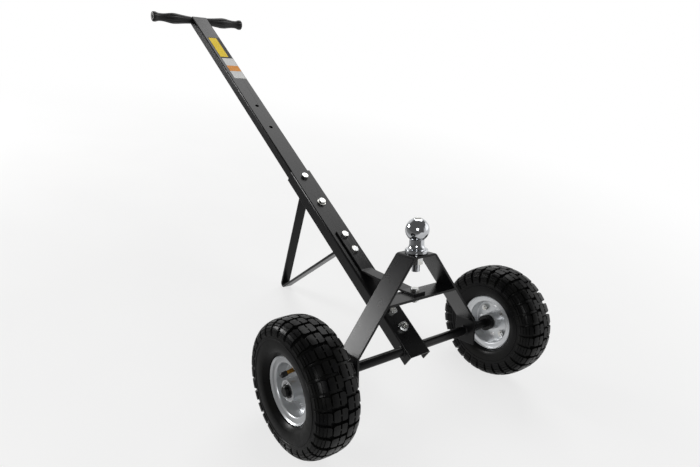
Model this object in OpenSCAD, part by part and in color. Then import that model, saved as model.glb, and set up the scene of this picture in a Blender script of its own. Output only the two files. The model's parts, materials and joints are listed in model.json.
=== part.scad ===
// Trailer dolly: two pneumatic wheels on a plain axle, a bent flat bar frame with a
// hitch ball, and a long tilted column with a T-handle, a strut and a kickstand.
// Millimetres. +Z is up, -Y is the ball side and +Y is the handle side.
// The dolly stands on its two tyres and on the foot of its kickstand.

/* [Wheels] */
// Outside diameter over the tread lugs
tyre_d = 260; // [240:1:290]
// Width of the tyre over the shoulder lugs
tyre_w = 88; // [80:1:96]
// Distance between the middles of the two tyres
track = 546; // [520:1:640]
// Height of the tread lugs
lug_h = 7; // [4:0.5:9]
// Lugs round the tyre in each row
lug_count = 30; // [20:1:32]
// Diameter on which the tyre beads sit
bead_d = 103; // [98:1:108]
// Diameter of the rim flange
rim_d = 128; // [124:1:134]
// Width of the rim over its flanges
rim_w = 58; // [54:1:62]
// Thickness of the rim sheet
rim_t = 2; // [1.5:0.1:2.5]
// Radius of the circle of rim bolts
rim_bolt_r = 36; // [33:0.5:37]
// Outside diameter of the hub tube
hub_d = 40; // [39:0.5:42]
// Reach of the hub tube outwards from the middle of the wheel
hub_out = 30; // [26:0.5:34]
// Reach of the hub tube inwards from the middle of the wheel
hub_in = 23; // [18:0.5:30]
// Outside diameter of the ball bearings
bearing_d = 35; // [34:0.5:36]
// Width of one bearing
bearing_w = 11; // [8:0.5:12]

/* [Axle] */
// Diameter of the axle rod
axle_d = 20; // [18:0.5:21]
// Length of axle that stands out past each hub
axle_end = 8; // [5:0.5:12]
// Diameter of the collar inside each wheel
collar_d = 36; // [30:0.5:40]
// Length of the collar inside each wheel
collar_len = 12.6; // [8:0.1:20]

/* [Frame] */
// Width of the frame bar, front to back
bar_w = 52; // [44:1:60]
// Thickness of the frame bar
bar_t = 5; // [4:0.5:8]
// Distance of the axle behind the middle of the frame bar
axle_back = 2.5; // [0:0.5:6]
// Width of the frame over its two upright ends
frame_w = 336; // [300:1:350]
// Height of the lower bends above the axle
bend_h = 32; // [26:1:50]
// Height of the top plate above the axle
plate_h = 207; // [190:1:240]
// Length of the top plate between its bends
plate_len = 58; // [54:1:80]
// Length of the upright ends below the axle
leg_drop = 26.5; // [20:0.5:40]
// Bend radius of the frame bar, along its middle
bar_bend = 9; // [7:0.5:14]
// Height of the cross brace above the axle
brace_h = 122; // [105:1:140]

/* [Column] */
// Lean of the column from upright, with the ball upright
column_tilt = 52.5; // [46:0.5:58]
// Width of the channel
channel_w = 57; // [53:0.5:64]
// Depth of the channel
channel_d = 29; // [28.5:0.5:34]
// Sheet thickness of the channel
channel_t = 3; // [2.5:0.1:3.5]
// Length of the channel
channel_len = 558.5; // [555.5:0.5:623.5]
// Distance of the axle from the lower end of the channel
axle_up = 24.5; // [20:0.5:30]
// Distance of the axle behind the channel's front face
axle_in = 14; // [13.5:0.1:16]
// Wall of the handle tube
tube_t = 2; // [1.5:0.1:2.5]
// Side clearance of the handle tube in the channel
tube_gap = 0.5; // [0.2:0.1:1]
// Depth of the handle tube
tube_d = 25; // [23:0.5:25.5]
// Distance of the tube's lower end from the channel's lower end
tube_from = 421.5; // [403.5:0.5:428.5]
// Length of the handle tube
tube_len = 857; // [780:1:1000]

/* [Bolts] */
// Diameter of the frame bolts
bolt_d = 10; // [8:0.5:10]
// Size of the hexagons across their flats
hex_w = 16; // [14:0.5:17]
// Clearance hole for a frame bolt, over its diameter
hole_gap = 0.5; // [0.2:0.1:1]
// Place of the upper handle bolt along the channel
handle_bolt_1 = 536.5; // [531.5:0.5:539.5]
// Place of the lower handle bolt along the channel
handle_bolt_2 = 444.5; // [439.5:0.5:453.5]
// Place of the upper strut bolt along the channel
strut_bolt_1 = 331.5; // [325.5:0.5:335.5]
// Place of the lower strut bolt along the channel
strut_bolt_2 = 285; // [279.5:0.5:289.5]
// Place of the upper backing plate bolt along the channel
plate_bolt_1 = 111.5; // [107.5:0.5:119.5]
// Place of the lower backing plate bolt along the channel
plate_bolt_2 = 69.5; // [63.5:0.5:75.5]
// Distance from the bolt holes to the spare holes higher up the tube
spare_shift = 292; // [270:1:320]

/* [Strut] */
// Width of the strut
strut_w = 30; // [26:1:36]
// Thickness of the strut
strut_t = 5; // [4:0.5:6]
// Place of the strut's upper end along the channel
strut_top = 346.5; // [343.5:0.5:363.5]
// Place of the strut's bend along the channel
strut_bend = 226.5; // [203.5:0.5:243.5]
// Bend radius of the strut, along its middle
strut_r = 9; // [6:0.5:14]

/* [Kickstand] */
// Width of the stand's bar
stand_w = 25; // [18:0.5:28]
// Thickness of the stand's bar
stand_t = 6; // [4:0.5:7]
// Place of the stand's upper bend along the channel
stand_top = 512.1; // [508.6:0.1:515.6]
// Place of the stand's lower bend along the channel
stand_low = 308; // [303.5:0.5:313.5]
// Depth of the stand's sharp corner behind the channel's front face
stand_reach = 329; // [295:1:365]
// Place of the stand's corner along the channel
stand_tip = 434.5; // [418.5:0.5:453.5]
// Bend radius of the stand's bar, along its middle
stand_r = 7; // [5:0.5:10]

/* [Handlebar] */
// Diameter of the handlebar
handle_d = 16; // [14:0.5:18]
// Length over the two grips
handle_w = 294; // [260:1:360]
// Diameter of a grip at its swollen middle
grip_d = 31; // [28:0.5:34]
// Diameter of a grip at its inner end
grip_end_d = 21; // [20:0.5:24]
// Flutes round a grip
flute_count = 12; // [8:1:14]

/* [Hitch ball] */
// Diameter of the hitch ball
ball_d = 47.6; // [46:0.1:51]
// Height of the ball's middle above the top plate
ball_h = 46; // [44:0.5:54]
// Diameter of the ball's foot
ball_foot_d = 46; // [42:0.5:48]
// Diameter of the threaded shank
shank_d = 16; // [14:0.5:19]
// Length of the shank below the top plate
shank_drop = 33; // [30:1:45]
// Size of the ball nut across its flats
ball_nut_w = 24; // [22:0.5:28]

/* [Hidden] */

black = "#1c1c1e";
rubber = "#18181a";
zinc = "#c9ccd0";
silver = "#a9acb0";
brass = "#b58a3c";

$fn = 64;
tiny = 0.05;
tyre_r = tyre_d / 2;
wheel_x = track / 2;
leg = [frame_w / 2 - plate_len / 2, plate_h - bend_h];
leg_slope = atan2(leg[1], leg[0]);
tube_w = channel_w - 2 * channel_t - 2 * tube_gap;
tube_front = channel_t + 0.25;
tube_back = tube_front + tube_d;
tube_end = tube_from + tube_len;
hole_d = bolt_d + hole_gap;
head_h = 0.64 * bolt_d;
nut_h = 0.84 * bolt_d;
washer_d = 2.1 * bolt_d;
washer_t = 2;
plate_t = bar_t;
run_gap = 0.05;
race_d = axle_d + 7;
hub_clear = 0.4;

// Unit vector and its left normal
function unit(v) = v / norm(v);
function left(v) = [-v[1], v[0]];
// Sign of the turn from one direction to the next
function turn(u, v) = sign(u[0] * v[1] - u[1] * v[0]);
// Centre of the bend at point b of a path a, b, c
function bend_centre(a, b, c, r) =
    let (u = unit(b - a), v = unit(c - b), half = acos(u * v) / 2)
    b - u * r * tan(half) + left(u) * turn(u, v) * r;
// One side of a bent strip, shift to the left of its middle line, with round bends
function strip_side(p, r, shift, steps = 8) = [
    for (i = [0:len(p) - 1])
        if (i == 0)
            p[0] + left(unit(p[1] - p[0])) * shift
        else if (i == len(p) - 1)
            p[i] + left(unit(p[i] - p[i - 1])) * shift
        else
            let (u = unit(p[i] - p[i - 1]), v = unit(p[i + 1] - p[i]), s = turn(u, v),
                c = bend_centre(p[i - 1], p[i], p[i + 1], r), angle = acos(u * v))
            for (k = [0:steps])
                let (d = left(u) * -s, q = s * angle * k / steps)
                c + [d[0] * cos(q) - d[1] * sin(q), d[0] * sin(q) + d[1] * cos(q)] * (r - s * shift)];
// Closed outline of a bent strip of thickness t along the path p
function strip(p, t, r) = let (a = strip_side(p, r, t / 2), b = strip_side(p, r, -t / 2))
    concat(a, [for (i = [len(b) - 1:-1:0]) b[i]]);

// Stand of the dolly: the lean that brings the foot down to the floor
stand_path = [[tube_back + stand_t / 2, channel_len - 2],
    [tube_back + stand_t / 2, stand_top], [stand_reach, stand_tip],
    [channel_t + stand_t / 2, stand_low], [channel_t + stand_t / 2, stand_low - 47]];
foot = bend_centre(stand_path[1], stand_path[2], stand_path[3], stand_r);
foot_yz = column_point(foot[1], foot[0]);
lean = atan2(foot_yz[1], foot_yz[0])
    + asin((tyre_r - stand_r - stand_t / 2) / norm(foot_yz));
bar_yz = column_point(tube_end, tube_front + tube_d / 2);
bar_back = bar_yz[0] * cos(lean) + bar_yz[1] * sin(lean) + grip_d / 2;
middle_y = (bar_back - tyre_r) / 2;

// Y and Z, from the axle, of a place along the column and a depth behind its front
function column_point(along, depth) =
    [(along - axle_up) * sin(column_tilt) + (depth - axle_in) * cos(column_tilt),
     (along - axle_up) * cos(column_tilt) - (depth - axle_in) * sin(column_tilt)];

// Brings the axle line to its place over the floor, with the dolly on its stand
module standing() {
    translate([0, -middle_y, tyre_r]) rotate([-lean, 0, 0]) children();
}

// Along the column: Z runs up it from its lower end, Y is the depth behind its front
module on_column() {
    rotate([-column_tilt, 0, 0]) translate([0, -axle_in, -axle_up]) children();
}

// Turns a shape along Z so that it lies along X
module along_x() {
    rotate([0, 90, 0]) children();
}

// Extrudes an outline drawn in Y and Z by a width centred on X
module across(width) {
    rotate([90, 0, 90]) linear_extrude(width, center = true) children();
}

// Rectangle with round corners
module round_box(w, d, r) {
    square([w - 2 * r, d], center = true);
    square([w, d - 2 * r], center = true);
    for (x = [-1, 1], y = [-1, 1])
        translate([x * (w / 2 - r), y * (d / 2 - r)]) circle(r);
}

module hexagon(width, height) {
    cylinder(d = width / cos(30), h = height, $fn = 6);
}

// Bolt whose head stands on Z = 0 and whose shank runs down by length
module bolt(length, head = head_h, width = hex_w, d = bolt_d) {
    intersection() {
        hexagon(width, head);
        cylinder(d1 = width / cos(30) + 1.2 * head, d2 = width * 0.98, h = head);
    }
    translate([0, 0, -length]) cylinder(d = d, h = length + tiny);
}

module nut(height = nut_h, width = hex_w, d = bolt_d) {
    difference() {
        hexagon(width, height);
        translate([0, 0, -1]) cylinder(d = d + 0.1, h = height + 2);
    }
}

// Places children on a column bolt line with Z out of the front face
module at_bolt(along, depth = 0) {
    translate([0, depth, along]) rotate([90, 0, 0]) children();
}

module column_hole(along, d = hole_d) {
    translate([0, -20, along]) rotate([-90, 0, 0]) cylinder(d = d, h = 80);
}

// Axle and what locks the wheels on it

module axle() color(black) standing() along_x() {
    half = wheel_x + hub_out + axle_end;
    groove = wheel_x + hub_out + hub_clear;
    difference() {
        union() {
            cylinder(d = axle_d, h = 2 * half - 3, center = true);
            for (s = [0, 180])
                rotate([s, 0, 0]) translate([0, 0, half - 1.5])
                    cylinder(d1 = axle_d, d2 = axle_d - 3, h = 1.5);
        }
        for (s = [0, 180])
            rotate([s, 0, 0]) translate([0, 0, groove]) difference() {
                cylinder(d = axle_d + 2, h = 1.6);
                translate([0, 0, -1]) cylinder(d = axle_d - 2, h = 4);
            }
    }
}

module axle_collars() color(black) standing() along_x() for (s = [0, 180])
    rotate([s, 0, 0]) translate([0, 0, wheel_x - hub_in - hub_clear - collar_len])
        difference() {
            union() {
                cylinder(d = collar_d, h = collar_len - 1);
                translate([0, 0, collar_len - 1])
                    cylinder(d1 = collar_d, d2 = collar_d - 2, h = 1);
            }
            translate([0, 0, -1]) cylinder(d = axle_d, h = collar_len + 2);
        }

module bearing_inner_races() color(zinc) standing() along_x() for (s = [0, 180])
    rotate([s, 0, 0]) for (z = [wheel_x - hub_in - hub_clear, wheel_x + hub_out - bearing_w])
        translate([0, 0, z]) difference() {
            cylinder(d = race_d, h = bearing_w + hub_clear);
            translate([0, 0, -1]) cylinder(d = axle_d, h = bearing_w + 3);
        }

module axle_end_rings() color(black) standing() along_x() for (s = [0, 180])
    rotate([s, 0, 0]) translate([0, 0, wheel_x + hub_out + hub_clear + tiny]) difference() {
        cylinder(d = axle_d + 6, h = 1.5);
        translate([0, 0, -1]) cylinder(d = axle_d - 1.8, h = 4);
        translate([0, -1.5, -1]) cube([axle_d, 3, 4]);
    }

// Frame

module a_frame() color(black) standing() difference() {
    top = [leg_corner()[0], plate_h - bar_t / 2];
    low = [frame_w / 2 - bar_t / 2, bend_h - bar_t / 2 * tan((90 - leg_slope) / 2)];
    foot_z = -leg_drop;
    translate([0, -axle_back, 0]) rotate([90, 0, 0])
        linear_extrude(bar_w, center = true)
            polygon(strip([[-low[0], foot_z], [-low[0], low[1]], [-top[0], top[1]],
                [top[0], top[1]], [low[0], low[1]], [low[0], foot_z]], bar_t, bar_bend));
    along_x() cylinder(d = axle_d, h = frame_w + 20, center = true);
    translate([0, -axle_back, plate_h - 20]) cylinder(d = shank_d + 0.6, h = 40);
}

// Place on the frame bar's middle line where the top plate bends into a leg
function leg_corner() = [plate_len / 2 - bar_t / 2 * tan(leg_slope / 2)];
// Half the width between the legs' inner faces at a height above the axle
function inner_half(z) = plate_len / 2 + leg[0] * (plate_h - z) / leg[1]
    - bar_t / sin(leg_slope) - tiny;

module cross_brace() color(black) standing() difference() {
    low = brace_h - bar_t;
    translate([0, -axle_back, 0]) rotate([90, 0, 0])
        linear_extrude(bar_w, center = true)
            polygon([[-inner_half(low), low], [inner_half(low), low],
                [inner_half(brace_h), brace_h], [-inner_half(brace_h), brace_h]]);
    translate([0, -axle_back, low - 1]) cylinder(d = hole_d, h = bar_t + 2);
}

// Column

module column_channel() color(black) standing() on_column() difference() {
    linear_extrude(channel_len) difference() {
        translate([0, channel_d]) round_box(channel_w, 2 * channel_d, 4);
        translate([0, channel_d + channel_t])
            round_box(channel_w - 2 * channel_t, 2 * channel_d, 1);
        translate([-channel_w, channel_d]) square([2 * channel_w, 2 * channel_d]);
    }
    translate([0, axle_in, axle_up]) along_x()
        cylinder(d = axle_d, h = channel_w + 20, center = true);
    for (along = [handle_bolt_1, handle_bolt_2, strut_bolt_1, strut_bolt_2,
                  plate_bolt_1, plate_bolt_2])
        column_hole(along);
}

module handle_tube() color(black) standing() on_column() difference() {
    translate([0, tube_front + tube_d / 2, tube_from])
        linear_extrude(tube_len) difference() {
            round_box(tube_w, tube_d, 3);
            round_box(tube_w - 2 * tube_t, tube_d - 2 * tube_t, 1.2);
        }
    for (along = [handle_bolt_1, handle_bolt_2], shift = [0, spare_shift])
        column_hole(along + shift);
    translate([0, tube_front + tube_d / 2, tube_end]) along_x()
        cylinder(d = handle_d + 0.1, h = tube_w + 20, center = true);
}

// Handlebar and grips

module at_handle() {
    standing() on_column() translate([0, tube_front + tube_d / 2, tube_end]) children();
}

module handlebar() color(black) at_handle() along_x() difference() {
    cylinder(d = handle_d, h = handle_w - 10, center = true);
    cylinder(d = handle_d - 3, h = handle_w, center = true);
}

// Places along a grip from its outer end, as a share of its length, and diameters
grip_len = (handle_w - tube_w) / 2 - 0.3;
grip_shape = [[0, 26], [0.015, 29], [0.075, 29], [0.1, 26.5], [0.14, 23.5], [0.2, 22],
    [0.27, 22.4], [0.36, 25], [0.46, grip_d - 2], [0.54, grip_d], [0.6, grip_d - 0.5],
    [0.72, 27.5], [0.86, 23.5], [0.97, grip_end_d], [1, grip_end_d - 1]];
// Points round one ring of a grip, with flutes between the ribs
grip_ring_steps = 4 * flute_count;
function grip_ring(share, d) = [for (k = [0:grip_ring_steps - 1])
    let (q = 360 * k / grip_ring_steps, r = d / 2 * (1 - 0.045 * (1 - cos(q * flute_count))))
    [share * grip_len, r * cos(q), r * sin(q)]];

module grip() difference() {
    n = grip_ring_steps;
    rings = len(grip_shape);
    polyhedron(
        [for (s = grip_shape) each grip_ring(s[0], s[1])],
        concat([[for (k = [0:n - 1]) k]],
            [[for (k = [n - 1:-1:0]) (rings - 1) * n + k]],
            [for (i = [0:rings - 2], k = [0:n - 1], half = [0, 1])
                let (a = i * n + k, b = i * n + (k + 1) % n)
                half == 0 ? [a, a + n, b + n] : [a, b + n, b]]));
    translate([4.5, 0, 0]) along_x() cylinder(d = handle_d + 0.1, h = grip_len);
    translate([-1, 0, 0]) along_x() cylinder(d = 9, h = 20);
}

module grip_left() color(rubber) at_handle() translate([-handle_w / 2, 0, 0]) grip();

module grip_right() color(rubber) at_handle() mirror([1, 0, 0])
    translate([-handle_w / 2, 0, 0]) grip();

// Strut and stand

function strut_point(along) = column_point(along, -strut_t / 2);
strut_flat = brace_h + strut_t / 2;
strut_path = [strut_point(strut_top), strut_point(strut_bend),
    [bar_w / 2 - axle_back - 4, strut_flat], [-axle_back - 15, strut_flat]];

module column_strut() color(black) standing() difference() {
    across(strut_w) polygon(strip(strut_path, strut_t, strut_r));
    on_column() for (along = [strut_bolt_1, strut_bolt_2]) column_hole(along);
    translate([0, -axle_back, brace_h - 5]) cylinder(d = hole_d, h = strut_t + 10);
}

module kickstand() color(black) standing() on_column() difference() {
    across(stand_w) polygon(strip(stand_path, stand_t, stand_r));
    for (along = [handle_bolt_1, strut_bolt_2]) column_hole(along);
}

module backing_plate() color(black) standing() on_column() difference() {
    low = plate_bolt_2 - 14;
    high = plate_bolt_1 + 14;
    translate([-15, channel_t, low]) cube([30, plate_t, high - low]);
    for (along = [plate_bolt_1, plate_bolt_2]) column_hole(along);
}

// Hitch ball on the top plate

module at_ball() {
    standing() translate([0, -axle_back, plate_h]) children();
}

module hitch_ball() color(zinc) at_ball() {
    neck_r = 14.8;
    foot_t = 8.5;
    cove_w = 6.5;
    cove_h = 10;
    difference() {
        union() {
            translate([0, 0, ball_h]) sphere(d = ball_d, $fn = 96);
            rotate_extrude() polygon(concat([[0, 0], [ball_foot_d / 2 - 1.2, 0],
                [ball_foot_d / 2, 1.2], [ball_foot_d / 2, foot_t - 2.2],
                [ball_foot_d / 2 - 0.5, foot_t - 0.8]],
                [for (k = [0:8]) [neck_r + cove_w * (1 - sin(90 * k / 8)),
                    foot_t + cove_h * (1 - cos(90 * k / 8))]],
                [[neck_r, ball_h - 15], [0, ball_h - 5]]));
            translate([0, 0, -bar_t - shank_drop]) cylinder(d = shank_d, h = bar_t + shank_drop);
        }
        translate([0, 0, ball_h + ball_d / 2 - 1.5]) cylinder(d1 = 2, d2 = 6, h = 2);
    }
}

lock_t = 4;

module ball_lock_washer() color(zinc) at_ball() translate([0, 0, -bar_t - lock_t])
    difference() {
        cylinder(d = shank_d + 9, h = lock_t);
        translate([0, 0, -1]) cylinder(d = shank_d + 0.4, h = lock_t + 2);
        rotate([0, 0, 200]) translate([0, -0.8, -1]) cube([shank_d, 1.6, lock_t + 2]);
    }

module ball_nut() color(zinc) at_ball() translate([0, 0, -bar_t - lock_t - 14])
    nut(14, ball_nut_w, shank_d);

// Fasteners of the column

stack_end = bolt_d * 0.3;

module handle_bolts() color(zinc) standing() on_column() {
    at_bolt(handle_bolt_1) bolt(tube_back + stand_t + nut_h + stack_end);
    at_bolt(handle_bolt_2, -washer_t) bolt(washer_t + tube_back + nut_h + stack_end);
}

module strut_bolts() color(zinc) standing() on_column() {
    at_bolt(strut_bolt_1, -strut_t) bolt(strut_t + channel_t + nut_h + stack_end);
    at_bolt(strut_bolt_2, -strut_t) bolt(strut_t + channel_t + stand_t + nut_h + stack_end);
}

module brace_bolt() color(zinc) standing() translate([0, -axle_back, brace_h + strut_t])
    bolt(strut_t + bar_t + washer_t + nut_h + stack_end);

module plate_bolts() color(zinc) standing() on_column() {
    at_bolt(plate_bolt_1) bolt(channel_t + plate_t + nut_h + stack_end);
    translate([0, channel_t + plate_t, plate_bolt_2]) rotate([-90, 0, 0])
        bolt(plate_t + channel_t + washer_t + nut_h + stack_end);
}

module frame_nuts() color(zinc) standing() {
    on_column() {
        at_bolt(handle_bolt_1, tube_back + stand_t + nut_h) nut();
        at_bolt(handle_bolt_2, tube_back + nut_h) nut();
        at_bolt(strut_bolt_1, channel_t + nut_h) nut();
        at_bolt(strut_bolt_2, channel_t + stand_t + nut_h) nut();
        at_bolt(plate_bolt_1, channel_t + plate_t + nut_h) nut();
        at_bolt(plate_bolt_2, -washer_t) nut();
    }
    translate([0, -axle_back, brace_h - bar_t - washer_t - nut_h]) nut();
}

module washer() difference() {
    cylinder(d = washer_d, h = washer_t);
    translate([0, 0, -1]) cylinder(d = hole_d, h = washer_t + 2);
}

module flat_washers() color(zinc) standing() {
    on_column() for (along = [handle_bolt_2, plate_bolt_2]) at_bolt(along) washer();
    translate([0, -axle_back, brace_h - bar_t - washer_t]) washer();
}

// Wheels, each drawn with its middle at the origin and its outer side along +Z

module at_wheel(side) {
    standing() translate([side * wheel_x, 0, 0]) rotate([0, side * 90, 0]) children();
}

// Half outline of the tyre from the crown down to the bead, inset from its outside
carcass_w = tyre_w / 2 - 2;
carcass_r = tyre_r - lug_h;
wide_r = (tyre_r + bead_d / 2) / 2 + 2;
wall_t = 8;
flange_out = 3.2;
bead_a = rim_w / 2 - flange_out - rim_t / 2 - 0.3;
lip_r = rim_d / 2 + 1.5;
function crown(q, inset) = [(carcass_w - inset) * pow(cos(q), 0.66),
    wide_r + (carcass_r - inset - wide_r) * pow(sin(q), 0.66)];
function wall(q) = [bead_a + 4 + (carcass_w - bead_a - 4) * pow(cos(q), 0.8),
    wide_r - (wide_r - lip_r) * pow(sin(q), 0.8)];
function lining(q) = [bead_a - 8 + (carcass_w - wall_t - bead_a + 8) * pow(cos(q), 0.9),
    wide_r - (wide_r - rim_d / 2 + 3) * pow(sin(q), 0.9)];
half_tyre = concat([[0, carcass_r]], [for (q = [80:-10:0]) crown(q, 0)],
    [for (q = [15:15:75]) wall(q)], [[bead_a + 4, lip_r], [bead_a, lip_r - 4.1],
    [bead_a, bead_d / 2 + 1.2], [bead_a - 1.2, bead_d / 2], [bead_a - 10, bead_d / 2]],
    [for (q = [90:-15:15]) lining(q)], [for (q = [0:10:80]) crown(q, wall_t)],
    [[0, carcass_r - wall_t]]);

// Ring of tread lugs: a band of the tread cut into teeth, turned by phase
module lug_row(band, share, phase) {
    step = 360 / lug_count;
    intersection() {
        rotate_extrude($fn = 128) polygon([for (p = band) [p[1], p[0]]]);
        translate([0, 0, -tyre_w]) linear_extrude(2 * tyre_w)
            polygon([for (i = [0:lug_count - 1], c = [[-1, 20], [-1, 200], [1, 200], [1, 20]])
                let (q = step * (i + phase + c[0] * share / 2)) c[1] * [cos(q), sin(q)]]);
    }
}

// Bands of the tread as points of reach from the middle and radius
sink = 4;
row_band = [[1, tyre_r], [12, tyre_r - 0.5], [19, tyre_r - 1.3], [26, tyre_r - 2.8],
    [26, carcass_r - 2 * sink], [1, carcass_r - sink]];
shoulder_band = [[28.5, tyre_r - 3.8], [31, tyre_r - 5], [38, tyre_r - 10.5],
    [42.5, tyre_r - 18], [tyre_w / 2, tyre_r - 28], [carcass_w - 3, tyre_r - 30],
    [carcass_w - 7, carcass_r - 14], [28.5, carcass_r - 2 * sink]];

// Tyre whose outer lugs are turned by start, in pitches; the inner ones are half a pitch on
module tyre(start) {
    rotate_extrude($fn = 128) polygon([for (p = concat(half_tyre,
        [for (i = [len(half_tyre) - 2:-1:1]) [-half_tyre[i][0], half_tyre[i][1]]]))
        [p[1], p[0]]]);
    for (s = [0, 1]) mirror([0, 0, s]) {
        lug_row(row_band, 0.82, start + s / 2);
        lug_row(shoulder_band, 0.76, start + s / 2);
    }
}

// Inner tube, a thin ring between the tyre's crown and its two beads
air_top = carcass_r - wall_t - 0.4;
air_bay = air_top - rim_d / 2 + 3;
air_r = (pow(bead_a - 8, 2) + pow(air_bay, 2)) / (2 * air_bay + 0.8) - 0.2;
air_mid = air_top - air_r;

module inner_tube() rotate_extrude() translate([air_mid, 0]) difference() {
    circle(air_r);
    circle(air_r - 2);
}

// Half rim: flange, bead seat and disc in one bent sheet
seat_r = bead_d / 2 - 0.2 - rim_t / 2;
rim_path = [[rim_w / 2, rim_d / 2], [rim_w / 2 - flange_out, rim_d / 2 - flange_out],
    [rim_w / 2 - flange_out, seat_r], [rim_t / 2, seat_r], [rim_t / 2, hub_d / 2 + tiny]];
valve_a = 10;

module rim_half(valve) difference() {
    rotate_extrude($fn = 96) polygon([for (p = strip(rim_path, rim_t, 2.8)) [p[1], p[0]]]);
    for (q = [0:90:270]) {
        rotate([0, 0, q + 45]) translate([rim_bolt_r, 0, -1]) cylinder(d = 8.5, h = 8);
        rotate([0, 0, q]) translate([rim_bolt_r, 0, -1]) cylinder(d = 8, h = 8);
    }
    if (valve)
        translate([0, 0, valve_a]) along_x() cylinder(d = 9, h = rim_d);
}

module hub_tube() difference() {
    translate([0, 0, -hub_in]) cylinder(d = hub_d, h = hub_in + hub_out);
    translate([0, 0, -hub_in - 1]) cylinder(d = bearing_d, h = bearing_w + 1);
    translate([0, 0, hub_out - bearing_w]) cylinder(d = bearing_d, h = bearing_w + 1);
    translate([0, 0, -hub_in - 1]) cylinder(d = bearing_d - 4, h = hub_in + hub_out + 2);
}

module bearings() for (z = [-hub_in, hub_out - bearing_w]) translate([0, 0, z])
    difference() {
        cylinder(d = bearing_d, h = bearing_w);
        translate([0, 0, -1]) cylinder(d = race_d + 2 * run_gap, h = bearing_w + 2);
        for (f = [-1, bearing_w - 0.5]) translate([0, 0, f]) difference() {
            cylinder(d = bearing_d - 3.5, h = 1.5);
            translate([0, 0, -1]) cylinder(d = race_d + 1.2, h = 4);
        }
    }

rim_bolt_d = 8;
rim_hex = 13;
rim_nut_h = 6.5;

module rim_bolts() for (q = [45:90:315]) rotate([0, 0, q])
    translate([rim_bolt_r, 0, rim_t])
        bolt(2 * rim_t + rim_nut_h + 2.5, 5.3, rim_hex, rim_bolt_d);

module rim_nuts() for (q = [45:90:315]) rotate([0, 0, q])
    translate([rim_bolt_r, 0, -rim_t - rim_nut_h]) nut(rim_nut_h, rim_hex, rim_bolt_d);

valve_r = 39;
valve_top = air_mid - sqrt(air_r * air_r - pow(valve_a - 4, 2)) - 0.3;
valve_len = 21;

// Places children at the valve's elbow, with Z out along the stem
module at_valve() {
    translate([valve_r, 0, valve_a]) rotate([0, -10, 0]) children();
}

module valve_stem() {
    translate([valve_r, 0, valve_a]) along_x() cylinder(d = 8, h = valve_top - valve_r);
    at_valve() {
        sphere(d = 9);
        cylinder(d = 7.4, h = valve_len + 2);
    }
}

module valve_cap() at_valve() translate([0, 0, valve_len]) difference() {
    union() {
        cylinder(d = 9.8, h = 10.5);
        translate([0, 0, 10.5]) cylinder(d1 = 9.8, d2 = 6.8, h = 2.5);
    }
    translate([0, 0, -1]) cylinder(d = 7.4, h = 3);
}

module left_tyre() color(rubber) at_wheel(-1) tyre(0.76);
module left_inner_tube() color(rubber) at_wheel(-1) inner_tube();
module left_rim_outer() color(silver) at_wheel(-1) rim_half(true);
module left_rim_inner() color(silver) at_wheel(-1) mirror([0, 0, 1]) rim_half(false);
module left_hub_tube() color(silver) at_wheel(-1) hub_tube();
module left_bearings() color(zinc) at_wheel(-1) bearings();
module left_rim_bolts() color(zinc) at_wheel(-1) rim_bolts();
module left_rim_nuts() color(zinc) at_wheel(-1) rim_nuts();
module left_valve_stem() color(brass) at_wheel(-1) valve_stem();
module left_valve_cap() color(rubber) at_wheel(-1) valve_cap();

module right_tyre() color(rubber) at_wheel(1) tyre(0.22);
module right_inner_tube() color(rubber) at_wheel(1) inner_tube();
module right_rim_outer() color(silver) at_wheel(1) rim_half(true);
module right_rim_inner() color(silver) at_wheel(1) mirror([0, 0, 1]) rim_half(false);
module right_hub_tube() color(silver) at_wheel(1) hub_tube();
module right_bearings() color(zinc) at_wheel(1) bearings();
module right_rim_bolts() color(zinc) at_wheel(1) rim_bolts();
module right_rim_nuts() color(zinc) at_wheel(1) rim_nuts();
module right_valve_stem() color(brass) at_wheel(1) valve_stem();
module right_valve_cap() color(rubber) at_wheel(1) valve_cap();

axle();
axle_collars();
bearing_inner_races();
axle_end_rings();
a_frame();
cross_brace();
column_channel();
handle_tube();
handlebar();
grip_left();
grip_right();
column_strut();
kickstand();
backing_plate();
hitch_ball();
ball_lock_washer();
ball_nut();
handle_bolts();
strut_bolts();
brace_bolt();
plate_bolts();
frame_nuts();
flat_washers();
left_tyre();
left_inner_tube();
left_rim_outer();
left_rim_inner();
left_hub_tube();
left_bearings();
left_rim_bolts();
left_rim_nuts();
left_valve_stem();
left_valve_cap();
right_tyre();
right_inner_tube();
right_rim_outer();
right_rim_inner();
right_hub_tube();
right_bearings();
right_rim_bolts();
right_rim_nuts();
right_valve_stem();
right_valve_cap();
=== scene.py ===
"""Looks of a hand trailer dolly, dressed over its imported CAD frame, in metres."""

import json
import logging
import math
from collections.abc import Iterable, Sequence
from dataclasses import dataclass, field
from enum import StrEnum
from typing import Any, ClassVar

import bmesh
import bpy
from mathutils import Matrix, Vector

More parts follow.
